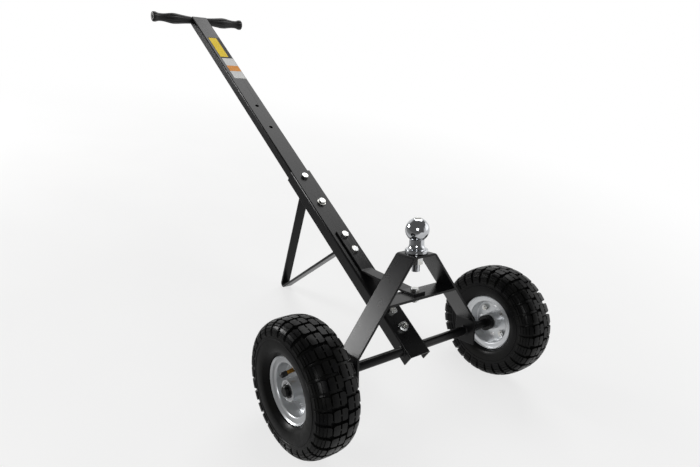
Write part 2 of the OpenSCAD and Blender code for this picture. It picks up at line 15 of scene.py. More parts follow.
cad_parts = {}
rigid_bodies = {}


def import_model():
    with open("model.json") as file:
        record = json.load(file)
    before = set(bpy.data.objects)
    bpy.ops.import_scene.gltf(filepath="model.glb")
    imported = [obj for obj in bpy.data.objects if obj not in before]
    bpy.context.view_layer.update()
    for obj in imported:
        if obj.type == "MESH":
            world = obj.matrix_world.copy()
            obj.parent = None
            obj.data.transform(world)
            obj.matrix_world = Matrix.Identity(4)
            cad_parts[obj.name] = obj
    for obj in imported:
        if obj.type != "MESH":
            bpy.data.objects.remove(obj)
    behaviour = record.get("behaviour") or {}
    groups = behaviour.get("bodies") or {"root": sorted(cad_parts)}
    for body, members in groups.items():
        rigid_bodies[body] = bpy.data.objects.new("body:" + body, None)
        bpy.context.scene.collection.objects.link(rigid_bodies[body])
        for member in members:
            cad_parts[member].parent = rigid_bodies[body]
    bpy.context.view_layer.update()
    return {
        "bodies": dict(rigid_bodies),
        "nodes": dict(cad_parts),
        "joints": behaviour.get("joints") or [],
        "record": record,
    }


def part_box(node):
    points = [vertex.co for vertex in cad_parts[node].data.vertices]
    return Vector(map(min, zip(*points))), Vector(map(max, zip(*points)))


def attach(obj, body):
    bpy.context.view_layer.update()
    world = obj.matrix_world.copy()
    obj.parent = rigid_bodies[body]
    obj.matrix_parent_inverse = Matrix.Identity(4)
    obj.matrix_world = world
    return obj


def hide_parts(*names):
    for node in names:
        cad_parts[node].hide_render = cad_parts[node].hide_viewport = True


Tree = bpy.types.NodeTree
Node = bpy.types.Node
Socket = bpy.types.NodeSocket
Material = bpy.types.Material
Piece = bpy.types.Object

LOG = logging.getLogger("trailer_dolly")
MM = 0.001
FULL_TURN = 2 * math.pi
ACROSS = Vector((1, 0, 0))
UPRIGHT = Vector((0, 0, 1))
PHOTO_WIDTH = 700
PHOTO_HEIGHT = 467
# Noise seldom leaves this band, so stretching it over a mix lets both ends show in full
NOISE_BAND = (0.35, 0.65)


def linear(hex_code: str) -> tuple[float, float, float, float]:
    """Turns an sRGB hex colour into the linear colour that shaders take.

    Args:
        hex_code: six hex digits after a hash.

    Returns:
        Linear red, green, blue and an alpha of one.
    """
    parts = [int(hex_code[i : i + 2], 16) / 255 for i in (1, 3, 5)]
    red, green, blue = (c / 12.92 if c <= 0.04045 else ((c + 0.055) / 1.055) ** 2.4 for c in parts)
    return red, green, blue, 1.0


def add_node(
    tree: Tree,
    kind: str,
    settings: dict[str, Any] | None = None,
    sockets: dict[str | int, Any] | None = None,
) -> Node:
    """Adds a shader node with its settings, and sets or links its sockets.

    Args:
        tree: the node tree that takes the node.
        kind: the node's Blender type.
        settings: properties of the node by name.
        sockets: values of its inputs by name or index; an output of another node is linked.

    Returns:
        The new node.
    """
    node = tree.nodes.new(kind)
    for name, value in (settings or {}).items():
        setattr(node, name, value)
    for name, value in (sockets or {}).items():
        if isinstance(value, Socket):
            tree.links.new(value, node.inputs[name])
        else:
            node.inputs[name].default_value = value
    return node


def empty_nodes(owner: Material | bpy.types.World) -> Tree:
    """Turns on the nodes of a material or world, and clears them.

    Args:
        owner: what the nodes belong to.

    Returns:
        The empty node tree.
    """
    owner.use_nodes = True
    owner.node_tree.nodes.clear()
    return owner.node_tree


def add_object(name: str, data: bpy.types.ID) -> bpy.types.Object:
    """Stands a new object in the scene.

    Args:
        name: the object's name.
        data: its mesh, lamp or camera.

    Returns:
        The object.
    """
    thing = bpy.data.objects.new(name, data)
    bpy.context.scene.collection.objects.link(thing)
    return thing


def patches(
    tree: Tree, coords: Socket, size_mm: float, detail: float, tones: Sequence[str]
) -> Socket:
    """Two colours in soft patches.

    Args:
        tree: the node tree that takes the nodes.
        coords: the coordinates that the patches are drawn in.
        size_mm: how wide a patch is.
        detail: how finely its edge is broken up.
        tones: hex codes of the two colours.

    Returns:
        The patchy colour.
    """
    noise = add_node(tree, "ShaderNodeTexNoise", sockets={
        "Vector": coords, "Scale": 1 / (size_mm * MM), "Detail": detail})
    low, high = NOISE_BAND
    stretched = add_node(tree, "ShaderNodeMapRange", sockets={
        "Value": noise.outputs["Fac"], "From Min": low, "From Max": high})
    first, last = (linear(tone) for tone in tones)
    return add_node(
        tree, "ShaderNodeMix", settings={"data_type": "RGBA"},
        sockets={0: stretched.outputs["Result"], 6: first, 7: last},
    ).outputs[2]


class Side(StrEnum):
    """A side of the dolly, by its word in the names of nodes, bodies and joints."""

    LEFT = "left"
    RIGHT = "right"

    @property
    def sign(self) -> int:
        """Which way the side lies along X."""
        return -1 if self is Side.LEFT else 1


class Tone(StrEnum):
    """The colours of the vinyl on the handle tube."""

    BLACK = "black"
    YELLOW = "yellow"
    WHITE = "white"
    ORANGE = "orange"


@dataclass(frozen=True)
class Place:
    """A right-handed frame in the row: an origin and three axes."""

    origin: Vector
    x: Vector
    y: Vector
    z: Vector

    def at(self, x: float, y: float, z: float) -> Vector:
        """The row point at local x, y, z in metres."""
        return self.origin + self.x * x + self.y * y + self.z * z

    def local(self, point: Vector) -> Vector:
        """Local coordinates of a row point."""
        away = point - self.origin
        return Vector((away.dot(self.x), away.dot(self.y), away.dot(self.z)))


def place_on_axis(origin: Vector, axis: Vector, side: Vector) -> Place:
    """A place that stands on an axis.

    Args:
        origin: where it is.
        axis: direction of its z.
        side: direction that its x leans towards.

    Returns:
        The place.
    """
    z = axis.normalized()
    x = (side - z * side.dot(z)).normalized()
    return Place(origin, x, z.cross(x), z)


class Layout:
    """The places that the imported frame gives: chassis, column and wheels."""

    def __init__(self, frame: dict[str, Any]) -> None:
        """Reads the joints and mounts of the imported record.
        """
        mounts = {m["name"]: m for m in frame["record"]["mounts"]}
        joints = {j["name"]: j for j in frame["joints"]}
        self.hubs = {side: Vector(joints[side + "_wheel_spin"]["pos_m"]) for side in Side}
        middle = (self.hubs[Side.LEFT] + self.hubs[Side.RIGHT]) / 2
        self.chassis = place_on_axis(middle, Vector(mounts["hitch_ball"]["axis"]), ACROSS)
        upper = Vector(mounts["upper_spare_hole"]["pos_m"])
        lower = Vector(mounts["lower_spare_hole"]["pos_m"])
        self.tube_depth = mounts["upper_spare_hole"]["dims"]["length_mm"] * MM
        low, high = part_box("handlebar")
        self.column = place_on_axis((low + high) / 2, upper - lower, ACROSS)


@dataclass(frozen=True)
class Finish:
    """A surface: what the real material is, and how its surface was made.

    Sizes are those of the real surface. A grain too fine to show in the render is drawn as
    coarse as it needs to show.
    """

    name: str
    hex_code: str
    roughness: float
    metallic: float = 0.0
    spread: float = 0.08
    tint: str = ""
    patch_mm: float = 40.0
    grain_mm: float = 1.2
    bump_mm: float = 0.02
    specular: float = 0.5
    # Gloss changes in smaller patches than colour, over the middle of the noise's range
    gloss_share: ClassVar[float] = 0.4
    gloss_band: ClassVar[tuple[float, float]] = (0.3, 0.7)
    least_rough: ClassVar[float] = 0.02
    # Octaves of the noise in the colour, the gloss and the grain
    colour_detail: ClassVar[float] = 4.0
    gloss_detail: ClassVar[float] = 5.0
    grain_detail: ClassVar[float] = 3.0

    def make(self) -> Material:
        """Builds the material.

        Returns:
            A node material with patchy colour and roughness and a fine bump.
        """
        material = bpy.data.materials.new(self.name)
        tree = empty_nodes(material)
        material.diffuse_color = linear(self.hex_code)
        coords = add_node(tree, "ShaderNodeTexCoord").outputs["Object"]
        tones = (self.hex_code, self.tint or self.hex_code)
        colour = patches(tree, coords, self.patch_mm, self.colour_detail, tones)
        gloss = add_node(tree, "ShaderNodeTexNoise", sockets={
            "Vector": coords, "Scale": 1 / (self.patch_mm * self.gloss_share * MM),
            "Detail": self.gloss_detail})
        low, high = self.gloss_band
        rough = add_node(tree, "ShaderNodeMapRange", sockets={
            "Value": gloss.outputs["Fac"], "From Min": low, "From Max": high,
            "To Min": max(self.least_rough, self.roughness - self.spread),
            "To Max": min(1.0, self.roughness + self.spread)})
        shader = add_node(tree, "ShaderNodeBsdfPrincipled", sockets={
            "Base Color": colour, "Roughness": rough.outputs["Result"],
            "Metallic": self.metallic, "Normal": self.relief(tree, coords),
            "Specular IOR Level": self.specular})
        add_node(tree, "ShaderNodeOutputMaterial", sockets={"Surface": shader.outputs["BSDF"]})
        return material

    def relief(self, tree: Tree, coords: Socket) -> Socket:
        """The surface's own grain, as a bump as deep as bump_mm.

        Args:
            tree: the material's node tree.
            coords: the coordinates that the grain is drawn in.

        Returns:
            The bumped normal.
        """
        grain = add_node(tree, "ShaderNodeTexNoise", sockets={
            "Vector": coords, "Scale": 1 / (self.grain_mm * MM), "Detail": self.grain_detail})
        return add_node(tree, "ShaderNodeBump", sockets={
            "Height": grain.outputs["Fac"], "Distance": self.bump_mm * MM, "Strength": 1.0,
        }).outputs["Normal"]


@dataclass(frozen=True)
class DrawnSteel(Finish):
    """Sheet steel pressed over a die: faint rings round the wheel's axle line."""

    centre: tuple[float, float, float] = (0.0, 0.0, 0.0)
    ring_mm: float = 18.85
    ring_bump_mm: float = 0.001
    ring_strength: float = 0.6
    # What the wave node's sine goes through in one unit at a scale of one
    wave_phase: ClassVar[float] = 20.0
    # How far the rings wander off a circle, how finely, and how often
    wander: ClassVar[float] = 1.5
    wander_detail: ClassVar[float] = 3.0
    wander_scale: ClassVar[float] = 2.0

    def relief(self, tree: Tree, coords: Socket) -> Socket:
        """Rings about the X axis over the grain, drawn coarser than the real die marks.

        Args:
            tree: the material's node tree.
            coords: the coordinates that the rings are drawn in.

        Returns:
            The bumped normal.
        """
        shifted = add_node(tree, "ShaderNodeVectorMath", settings={"operation": "SUBTRACT"},
                           sockets={0: coords, 1: self.centre})
        rings = add_node(
            tree, "ShaderNodeTexWave",
            settings={"wave_type": "RINGS", "rings_direction": "X", "wave_profile": "SIN"},
            sockets={"Vector": shifted.outputs["Vector"], "Distortion": self.wander,
                     "Detail": self.wander_detail, "Detail Scale": self.wander_scale,
                     "Scale": FULL_TURN / (self.wave_phase * self.ring_mm * MM)},
        )
        return add_node(tree, "ShaderNodeBump", sockets={
            "Height": rings.outputs["Fac"], "Distance": self.ring_bump_mm * MM,
            "Strength": self.ring_strength, "Normal": super().relief(tree, coords),
        }).outputs["Normal"]


class Finishes:
    """Every finish of the dolly, built once and shared."""

    def __init__(self, axle: Vector) -> None:
        """Makes the materials.

        Args:
            axle: the axle's middle, for the rings pressed into the rims.
        """
        # Polyester powder coat, sprayed and baked: even satin black whose highlights a faint
        # orange peel breaks up.
        self.powder = Finish(
            "powder_coat_black", "#101011", 0.28, spread=0.01, tint="#111112", patch_mm=70,
            grain_mm=1.6, bump_mm=0.005, specular=0.19,
        ).make()
        # Zinc plate on machined steel: bright, from a cool to a warm grey.
        self.zinc = Finish(
            "zinc_plate", "#c6c8ca", 0.27, metallic=1.0, spread=0.05, tint="#bfbeb8", patch_mm=6,
            grain_mm=0.8, bump_mm=0.006,
        ).make()
        # Chrome plate over a forged and turned ball: mirror bright with faint handling marks.
        self.chrome = Finish(
            "chrome_plate", "#bdbfc2", 0.09, metallic=1.0, spread=0.05, tint="#b4b6b9", patch_mm=9,
            grain_mm=2.5, bump_mm=0.004,
        ).make()
        # Deep-drawn sheet under a dull zinc plate: pale grey with a wide, soft sheen and hardly a
        # trace of the die's rings. The plate scatters some light, so it is not all metallic.
        self.rim = DrawnSteel(
            "zinc_plated_sheet", "#cbcdcf", 0.34, metallic=0.78, spread=0.012, tint="#c7c9cb",
            grain_mm=1.0, bump_mm=0.001, centre=tuple(axle),
        ).make()
        # Ground bearing steel: bright narrow faces.
        self.bearing = Finish(
            "ground_bearing_steel", "#b4b5b7", 0.2, metallic=1.0, patch_mm=5, grain_mm=0.5,
            bump_mm=0.006,
        ).make()
        # Vulcanised tyre rubber: deep black with weak, wide highlights, and a little brown where
        # the mould release stays.
        self.tyre = Finish(
            "tyre_rubber", "#0b0b0c", 0.34, spread=0.07, tint="#0f0f0e", patch_mm=30, grain_mm=1.4,
            bump_mm=0.03, specular=0.12,
        ).make()
        # Soft moulded grip rubber: satin black with a fine pebble.
        self.grip = Finish(
            "grip_rubber", "#101011", 0.45, tint="#141415", patch_mm=20, grain_mm=0.9,
            specular=0.3,
        ).make()
        # Moulded butyl rubber of the inner tubes: dull black.
        self.butyl = Finish("butyl_rubber", "#0f0f10", 0.55, grain_mm=0.7, patch_mm=8).make()
        # Turned brass: warm yellow with fine tool marks.
        self.brass = Finish(
            "turned_brass", "#c08e3e", 0.28, metallic=1.0, tint="#a97a30", patch_mm=5, grain_mm=0.5,
            bump_mm=0.01,
        ).make()
        # Moulded polyamide cap: satin black.
        self.cap = Finish("moulded_polyamide", "#141415", 0.45, grain_mm=0.7, patch_mm=6).make()
        # Self-adhesive vinyl, printed in one flat colour: strong colour under a weak gloss.
        self.vinyl = {
            tone: Finish(
                "vinyl_" + tone, code, 0.4, spread=0.03, tint=tint, patch_mm=25, grain_mm=3.0,
                bump_mm=0.005, specular=0.08,
            ).make()
            for tone, code, tint in (
                (Tone.BLACK, "#17181d", "#1b1c21"),
                (Tone.YELLOW, "#fbd90c", "#f6d30a"),
                (Tone.WHITE, "#e4e4e2", "#dfdfdd"),
                (Tone.ORANGE, "#ee9a2e", "#ea9529"),
            )
        }


def new_piece(
    name: str, points: Sequence[Vector], faces: Iterable[Sequence[int]], material: Material,
    body: str,
) -> Piece:
    """Makes a smooth-shaded mesh piece that rides on a CAD body.

    Args:
        name: the piece's name.
        points: its points in the row frame.
        faces: its faces as point indices.
        material: its finish.
        body: the CAD body it moves with.

    Returns:
        The new object.
    """
    mesh = bpy.data.meshes.new(name)
    mesh.from_pydata([tuple(p) for p in points], [], [tuple(f) for f in faces])
    mesh.validate()
    mesh.shade_smooth()
    mesh.materials.append(material)
    piece = add_object(name, mesh)
    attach(piece, body)
    return piece


def wrapped_faces(rows: int, columns: int, closed: bool) -> list[tuple[int, int, int, int]]:
    """Faces of a grid whose columns wrap round, and whose rows may.

    Args:
        rows: rows of points.
        columns: points in each row.
        closed: whether the last row joins the first.

    Returns:
        Quads of point indices.
    """
    faces = []
    for i in range(rows if closed else rows - 1):
        this, after = i * columns, (i + 1) % rows * columns
        for k in range(columns):
            beside = (k + 1) % columns
            faces.append((this + k, this + beside, after + beside, after + k))
    return faces


def lathe_points(place: Place, profile: Sequence[tuple[float, float]], steps: int) -> list[Vector]:
    """Points of a profile of radius and height, turned about a place's z."""
    turns = [FULL_TURN * k / steps for k in range(steps)]
    return [place.at(r * math.cos(a), r * math.sin(a), z) for r, z in profile for a in turns]


def lathe(
    name: str, place: Place, profile: Sequence[tuple[float, float]], steps: int,
    material: Material, body: str,
) -> Piece:
    """Makes a turned piece from a closed profile.

    Args:
        name: the piece's name.
        place: its z is the axis of turning.
        profile: radius and height of each corner, in metres.
        steps: points round the axis.
        material: its finish.
        body: the CAD body it moves with.

    Returns:
        The new object.
    """
    points = lathe_points(place, profile, steps)
    return new_piece(name, points, wrapped_faces(len(profile), steps, True), material, body)


@dataclass
class Tread:
    """Relief of one side of the tread, by turn and by distance from the middle, in millimetres."""

    pitches: int = 30
    pitch: float = 27.2
    gap: float = 2.7
    shoulder_gap: float = 3.5
    row_in: float = 1.1
    row_out: float = 26.4
    slit: float = 13.4
    slit_edge: float = 0.7
    slit_half: float = 1.2
    bridge: float = 1.5
    bridge_wall: float = 0.2
    shoulder_in: float = 28.4
    relief_end: float = 59.0
    ribs: tuple[float, ...] = (36.4, 41.2, 46.2, 51.4)
    rib_half: float = 0.5
    # A lug's wall leans over these distances, beside a gap and at the ends of a row
    gap_wall: float = 0.35
    end_wall: tuple[float, float] = (-0.55, 0.05)
    # Radius of a round corner, and how far it sets the lug's side back
    block_corner: tuple[float, float] = (4.4, 3.4)
    slit_corner: tuple[float, float] = (2.4, 1.6)
    shoulder_corner: tuple[float, float] = (7.0, 4.4)
    # Height left in the gaps of the middle rows, the slits and the ribs, as a share of the lug's
    gap_floor: float = 0.16
    slit_floor: float = 0.1
    rib_floor: float = 0.62
    # Distance from the middle, and height of the lugs there
    depths: tuple[tuple[float, float], ...] = (
        (0, 7.0), (20, 6.9), (30, 6.4), (38, 5.6), (46, 4.2), (52, 2.8), (57, 1.6), (58.2, 0.0),
        (63.2, 0.0), (63.8, 0.9), (64.6, 0.9), (65.2, 0.0), (200, 0.0),
    )

    def rows(self) -> list[float]:
        """Where the mesh has rows, on one side, dense at walls and round corners.

        Returns:
            Their distances from the middle.
        """
        lugs = (0, 0.6, 1.2, 1.7, 2.5, 3.8, 6, 9.5, 11.0, 11.7, 12.0, 12.3, 14.5, 14.8, 15.1, 15.8,
                17.5, 21, 23.6, 25, 25.8, 26.3, 26.9, 27.9, 28.4, 28.9, 29.8, 31.2, 33, 35)
        ribs = [r + d for r in self.ribs for d in (-0.8, -0.45, 0.45, 0.8)]
        wall = (39, 43.8, 48.8, 54.2, 57, 58.2, 60.5, 63.2, 63.8, 64.6, 65.2, 68, 71, 74.5, 78,
                81.5, 85, 88)
        return sorted([*lugs, *ribs, *wall])

    def in_middle(self, away: float) -> bool:
        """Whether a distance from the middle lies in the middle row, not in the shoulder."""
        return away < (self.row_out + self.shoulder_in) / 2

    def half_gap(self, away: float) -> float:
        """Half the gap between two lugs of a row, wider at the lugs' round corners.

        Args:
            away: distance from the middle.

        Returns:
            Half the gap.
        """
        if self.in_middle(away):
            edge = min(away - self.row_in, self.row_out - away)
            notch = abs(away - self.slit) - self.slit_edge
            corners = self.round(edge, *self.block_corner) + self.round(notch, *self.slit_corner)
            return self.gap + corners
        return self.shoulder_gap + self.round(away - self.shoulder_in, *self.shoulder_corner)

    def columns(self, away: float, start: float) -> list[float]:
        """Where a row has points: close to its gaps' walls and to the slits' ends.

        Args:
            away: the row's distance from the middle.
            start: where its gaps are, in pitches.

        Returns:
            The turn of each point, in pitches.
        """
        half = self.half_gap(away)
        gap = (0.9, half - 0.3, half + 0.4, half + 1.4)
        slit = (0.5, self.bridge, self.bridge + 0.35, 3.6)
        groups = [(*(-u for u in reversed(near)), *near) for near in (gap, slit)]
        if start:
            groups.reverse()
        return [
            k + part / 2 + u / self.pitch
            for k in range(self.pitches)
            for part, group in enumerate(groups)
            for u in group
        ]

    def depth(self, away: float) -> float:
        """Height of the lugs over the carcass.

        Args:
            away: distance from the middle.

        Returns:
            The height there, zero where there are no lugs.
        """
        for (low, first), (high, last) in zip(self.depths, self.depths[1:]):
            if low <= away <= high:
                return first + (last - first) * (away - low) / (high - low)
        return 0.0

    def height(self, turn: float, away: float, start: float) -> float:
        """Share of the full lug height.

        Args:
            turn: turn round the tyre, in pitches.
            away: distance from the middle, over the section.
            start: where the gaps of this side are, in pitches.

        Returns:
            Near zero in a gap, one on a lug.
        """
        if away > self.relief_end:
            return 1.0
        across = abs((turn - start + 0.5) % 1 - 0.5) * self.pitch
        half = self.half_gap(away)
        solid = self.step(across, half - self.gap_wall, half + self.gap_wall)
        if self.in_middle(away):
            inside = min(away - self.row_in, self.row_out - away)
            from_middle = self.pitch / 2 - across
            beside_bridge = from_middle > self.bridge + self.bridge_wall
            in_slit = abs(away - self.slit) < self.slit_half and beside_bridge
            floor = self.gap_floor if inside > 0 else 0.0
            lug = min(solid, self.step(inside, *self.end_wall))
            return max(floor, lug * (self.slit_floor if in_slit else 1.0))
        solid = min(solid, self.step(away - self.shoulder_in, *self.end_wall))
        in_rib = min(abs(away - r) for r in self.ribs) < self.rib_half
        return solid * (self.rib_floor if in_rib else 1.0)

    @staticmethod
    def round(inside: float, radius: float, most: float) -> float:
        """Setback of a round corner at a distance inside the lug's edge."""
        t = min(1.0, max(0.0, 1 - inside / radius))
        return most * (1 - math.sqrt(1 - t * t))

    @staticmethod
    def step(value: float, low: float, high: float) -> float:
        """Straight rise from zero at low to one at high."""
        return min(1.0, max(0.0, (value - low) / (high - low)))


@dataclass
class Tyre:
    """A pneumatic tyre: carcass section in millimetres, with its tread.

    The tread is turned by some pitches and shifted along the axle from the rim's middle.
    """

    side: Side
    turn: float
    shift: float = 0.0
    outer_d: float = 260.0
    width: float = 88.0
    lug: float = 7.0
    bead_d: float = 103.0
    rim_d: float = 128.0
    rim_w: float = 58.0
    flange_out: float = 3.2
    rim_t: float = 2.0
    rim_gap: float = 0.3
    wall_t: float = 8.0
    side_lug: float = 2.0
    widest_up: float = 2.0
    lip_up: float = 1.5
    # The foot of the wall: its width, how far it drops to the bead, and the bead's bevel
    foot: float = 4.0
    foot_drop: float = 4.1
    bead_bevel: float = 1.2
    # Below one, the section's quarter arcs are fuller than an ellipse
    crown_power: float = 0.66
    wall_power: float = 0.8
    # Corners of the inside's foot, inwards from the bead and inwards from the rim
    lining_foot: tuple[float, float, float] = (10.0, 8.0, 3.0)
    lining_deg: tuple[float, ...] = (0, 20, 40, 60, 78)
    sharp_deg: float = 32.0
    tread: Tread = field(default_factory=Tread)

    @property
    def half(self) -> float:
        """Half the carcass's width."""
        return self.width / 2 - self.side_lug

    @property
    def wide_r(self) -> float:
        """Radius at which the carcass is widest."""
        return (self.outer_d / 2 + self.bead_d / 2) / 2 + self.widest_up

    @property
    def bead(self) -> float:
        """Reach of the bead, just inside the rim's flange."""
        return self.rim_w / 2 - self.flange_out - self.rim_t / 2 - self.rim_gap

    def section(self) -> list[tuple[float, float]]:
        """Outside of the carcass from crown to bead, finely stepped.

        Returns:
            Reach and radius of each point.
        """
        half, wide_r, bead = self.half, self.wide_r, self.bead
        crown_r = self.outer_d / 2 - self.lug
        lip_r = self.rim_d / 2 + self.lip_up
        foot = bead + self.foot
        crown = [
            (half * math.cos(a) ** self.crown_power,
             wide_r + (crown_r - wide_r) * math.sin(a) ** self.crown_power)
            for a in (math.radians(90 - 0.5 * k) for k in range(181))
        ]
        wall = [
            (foot + (half - foot) * math.cos(a) ** self.wall_power,
             wide_r - (wide_r - lip_r) * math.sin(a) ** self.wall_power)
            for a in (math.radians(k) for k in range(1, 90))
        ]
        base = [(foot, lip_r), (bead, lip_r - self.foot_drop),
                (bead, self.bead_d / 2 + self.bead_bevel)]
        return [*crown, *wall, *base, (bead - self.bead_bevel, self.bead_d / 2)]

    def outline(self, sign: int) -> list[tuple[float, Vector, Vector]]:
        """One side of the carcass, row by row.

        Args:
            sign: 1 for the outer side, -1 for the inner one.

        Returns:
            Distance in the tread, point and outward normal in the section.
        """
        path = [Vector(p) for p in self.section()]
        lengths = [0.0]
        for a, b in zip(path, path[1:]):
            lengths.append(lengths[-1] + (b - a).length)
        result = []
        for away in self.tread.rows():
            signed = sign * away + self.shift
            k = max(i for i, total in enumerate(lengths[:-1]) if total <= abs(signed))
            along = (path[k + 1] - path[k]).normalized()
            point = path[k] + along * (abs(signed) - lengths[k])
            flip = 1 if signed > 0 else -1
            result.append(
                (away, Vector((flip * point.x, point.y)), Vector((-flip * along.y, along.x)))
            )
        # The end of the wall over the rim, and then the foot with its bead
        for point in (path[-12], *path[-5:]):
            result.append((lengths[-1], Vector((sign * point.x, point.y)), Vector((sign, 0))))
        return result

    def lining(self) -> list[Vector]:
        """The inside of the carcass from bead to crown, kept plain.

        Returns:
            Points of reach and radius.
        """
        toe, heel, drop = self.lining_foot
        reach = self.half - self.wall_t
        rise = self.outer_d / 2 - self.lug - self.wall_t - self.wide_r
        foot = [(self.bead - toe, self.bead_d / 2), (self.bead - heel, self.rim_d / 2 - drop)]
        arch = [(reach * math.cos(a), self.wide_r + rise * math.sin(a))
                for a in (math.radians(k) for k in self.lining_deg)]
        return [Vector(p) for p in foot + arch]

    def build(self, layout: Layout, finishes: Finishes) -> Piece:
        """Builds the tyre's mesh round its hub and hides the CAD tyre.

        Args:
            layout: the frame's places.
            finishes: the dolly's materials.

        Returns:
            The tyre.
        """
        place = place_on_axis(layout.hubs[self.side], ACROSS * self.side.sign, UPRIGHT)
        # Each point is a turn in pitches, a reach and a radius
        rows: list[list[tuple[float, float, float]]] = []
        for start, part in ((0.0, self.outline(-1)[:0:-1]), (0.5, self.outline(1))):
            for away, point, normal in part:
                deep = self.tread.depth(away)
                row = []
                for turn in self.tread.columns(away, start):
                    top = point + normal * deep * self.tread.height(turn, away, start)
                    row.append((turn, top.x, min(top.y, self.outer_d / 2)))
                rows.append(row)
        lining = self.lining()
        even = self.tread.columns(0.0, 0.5)
        for sign, part in ((1, lining), (-1, lining[::-1])):
            rows += [[(turn, sign * p.x, p.y) for turn in even] for p in part]
        points = []
        for turn, x, r in (point for row in rows for point in row):
            a = FULL_TURN * (turn + self.turn) / self.tread.pitches
            points.append(place.at(r * MM * math.cos(a), r * MM * math.sin(a), x * MM))
        faces = wrapped_faces(len(rows), len(even), True)
        tyre = new_piece(self.side + "_tyre_tread", points, faces, finishes.tyre,
                         self.side + "_wheel")
        tyre.data.set_sharp_from_angle(angle=math.radians(self.sharp_deg))
        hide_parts(self.side + "_tyre")
        return tyre


@dataclass
class Grip:
    """A moulded handlebar grip with a lobed flange, a waist and a fluted swell."""

    side: Side
    lobes: int = 12
    steps: int = 144
    # Share of the listed flutes that is cut, and how sharp the ridges between them are
    flute_share: float = 0.765
    flute_power: int = 3
    # Share of the length from the outer end, diameter, and depth of the flutes
    shape: tuple[tuple[float, float, float], ...] = (
        (0.0, 24.0, 0.6), (0.012, 27.6, 1.1), (0.03, 29.0, 1.5), (0.06, 29.2, 1.6),
        (0.085, 28.2, 1.5), (0.105, 26.0, 1.1), (0.14, 23.4, 0.6), (0.2, 22.0, 0.4),
        (0.27, 22.4, 0.5), (0.34, 24.4, 0.9), (0.42, 27.8, 1.3), (0.48, 30.2, 1.5),
        (0.54, 31.0, 1.5), (0.6, 30.3, 1.4), (0.68, 28.0, 1.2), (0.78, 25.0, 0.8),
        (0.88, 22.6, 0.5), (0.96, 21.0, 0.3), (0.99, 20.6, 0.2), (1.0, 19.6, 0.0),
    )
    # Stations further apart than this share are joined in several pieces
    station: float = 0.02
    pieces: int = 3
    bore_r: float = 8.05
    hole_r: float = 4.5
    end_wall: float = 4.5
    chamfer: float = 0.8

    def profile(self) -> list[tuple[float, float, float]]:
        """The shape with smooth steps between its stations.

        Returns:
            Share of the length, diameter and depth of the flutes.
        """
        result = []
        for (a, da, fa), (b, db, fb) in zip(self.shape, self.shape[1:]):
            pieces = self.pieces if b - a > self.station else 1
            for k in range(pieces):
                t = k / pieces
                result.append((a + (b - a) * t, da + (db - da) * t, fa + (fb - fa) * t))
        return [*result, self.shape[-1]]

    def build(self, layout: Layout, finishes: Finishes) -> Piece:
        """Builds the grip in the place of its CAD node.

        Args:
            layout: the frame's places.
            finishes: the dolly's materials.

        Returns:
            The grip.
        """
        node = "grip_" + self.side
        low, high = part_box(node)
        start = low.x if self.side is Side.LEFT else high.x
        origin = Vector((start, layout.column.origin.y, layout.column.origin.z))
        place = place_on_axis(origin, ACROSS * -self.side.sign, layout.column.y)
        length = (high.x - low.x) / MM
        points = []
        rings = self.profile()
        for share, diameter, flute in rings:
            for a in (FULL_TURN * k / self.steps for k in range(self.steps)):
                ridge = abs(math.sin(a * self.lobes / 2)) ** self.flute_power
                r = (diameter / 2 - flute * self.flute_share * (1 - ridge)) * MM
                points.append(place.at(r * math.cos(a), r * math.sin(a), share * length * MM))
        inner = [(self.bore_r, length), (self.bore_r, self.end_wall), (self.hole_r, self.end_wall),
                 (self.hole_r, self.chamfer), (self.hole_r + self.chamfer, 0.0)]
        points += lathe_points(place, [(r * MM, z * MM) for r, z in inner], self.steps)
        faces = wrapped_faces(len(rings) + len(inner), self.steps, True)
        piece = new_piece(node + "_rubber", points, faces, finishes.grip, "frame")
        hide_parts(node)
        return piece


@dataclass
class Panel:
    """A plain colour panel stuck on the handle tube's front, in millimetres."""

    name: str
    tone: Tone
    left: float
    right: float
    top: float
    bottom: float
    lift: float = 0.1
    thick: float = 0.12
    corner: float = 2.0
    corner_steps: int = 6

    def outline(self) -> list[tuple[float, float]]:
        """The panel's rounded rectangle.

        Returns:
            Its points, sideways and down the tube.
        """
        result = []
        corners = ((self.right, self.top, 0), (self.right, self.bottom, 90),
                   (self.left, self.bottom, 180), (self.left, self.top, 270))
        for x, down, start in corners:
            cx = x + (-self.corner if x == self.right else self.corner)
            cy = down + (self.corner if down == self.top else -self.corner)
            for k in range(self.corner_steps + 1):
                a = math.radians(start + 90 / self.corner_steps * k)
                result.append((cx + self.corner * math.sin(a), cy - self.corner * math.cos(a)))
        return result

    def build(self, layout: Layout, finishes: Finishes) -> Piece:
        """Builds the panel as a thin sheet that lies on the tube.

        Args:
            layout: the frame's places.
            finishes: the dolly's materials.

        Returns:
            The panel.
        """
        front = layout.tube_depth / 2
        ring = self.outline()
        count = len(ring)
        points = [
            layout.column.at(x * MM, -front - (self.lift + rise) * MM, -down * MM)
            for rise in (0, self.thick)
            for x, down in ring
        ]
        sides = [(k, (k + 1) % count, count + (k + 1) % count, count + k) for k in range(count)]
        faces = [tuple(range(count))[::-1], tuple(range(count, 2 * count)), *sides]
        vinyl = finishes.vinyl[self.tone]
        panel = new_piece(self.name, points, faces, vinyl, "frame")
        panel.data.polygons.foreach_set("use_smooth", [False] * len(panel.data.polygons))
        return panel


